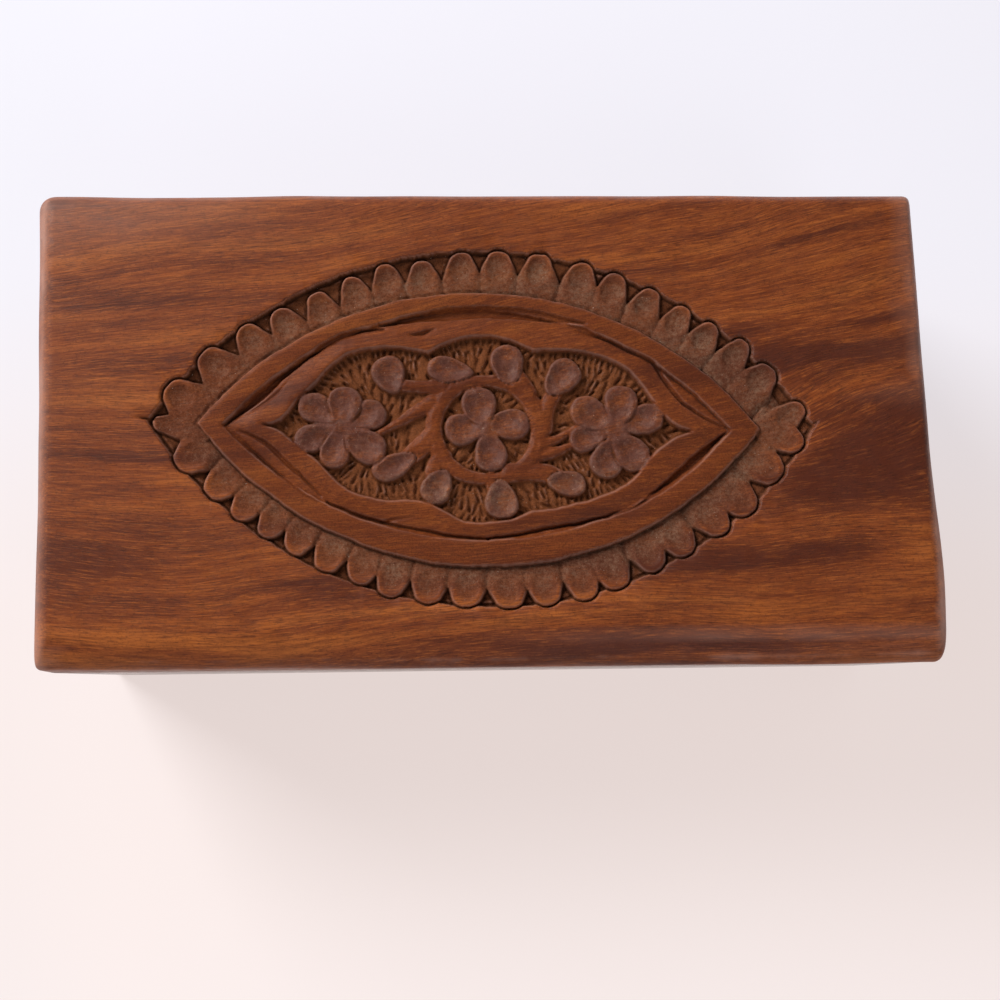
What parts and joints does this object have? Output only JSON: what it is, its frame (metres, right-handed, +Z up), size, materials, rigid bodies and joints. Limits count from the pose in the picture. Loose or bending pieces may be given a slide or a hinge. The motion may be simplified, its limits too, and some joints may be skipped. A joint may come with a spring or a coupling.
{
  "type": "carved trinket box",
  "caption": "Rectangular hardwood trinket box with a hinged, relief-carved lid: a scalloped pointed oval round flowers and a ring of vine.",
  "frame": {"origin": "middle of the underside of the closed box", "axes": "+X along the length to the right, +Y from the front to the hinged back, +Z up out of the carved lid"},
  "size_m": [0.18, 0.097, 0.064],
  "materials": {
    "lid_wood": "hand-rubbed satin, reddish brown with dark streaks, duller in the carving",
    "wall_wood": "hand-rubbed satin, reddish brown",
    "bottom_wood": "bare, lightly sanded",
    "brass": "brushed, slightly aged",
    "steel": "plain bright wire"
  },
  "bodies": {
    "base": {"base_front_wall": "wall_wood", "base_back_wall": "wall_wood", "base_left_wall": "wall_wood", "base_right_wall": "wall_wood", "base_bottom_panel": "bottom_wood", "bottom_pin_1": "steel", "bottom_pin_2": "steel", "bottom_pin_3": "steel", "bottom_pin_4": "steel", "bottom_pin_5": "steel", "bottom_pin_6": "steel", "bottom_pin_7": "steel", "bottom_pin_8": "steel", "left_hinge_base_leaf": "brass", "left_hinge_pin": "steel", "left_hinge_base_screw_1": "brass", "left_hinge_base_screw_2": "brass", "right_hinge_base_leaf": "brass", "right_hinge_pin": "steel", "right_hinge_base_screw_1": "brass", "right_hinge_base_screw_2": "brass"},
    "lid": {"lid_top_board": "lid_wood", "lid_front_rail": "wall_wood", "lid_back_rail": "wall_wood", "lid_left_rail": "wall_wood", "lid_right_rail": "wall_wood", "left_hinge_lid_leaf": "brass", "left_hinge_lid_screw_1": "brass", "left_hinge_lid_screw_2": "brass", "right_hinge_lid_leaf": "brass", "right_hinge_lid_screw_1": "brass", "right_hinge_lid_screw_2": "brass"}
  },
  "joints": [
    {"name": "lid_hinge", "type": "hinge", "parent": "base", "child": "lid", "pos_m": [0, 0.0468, 0.04685], "axis": [-1, 0, 0], "range_deg": [0, 100]}
  ]
}
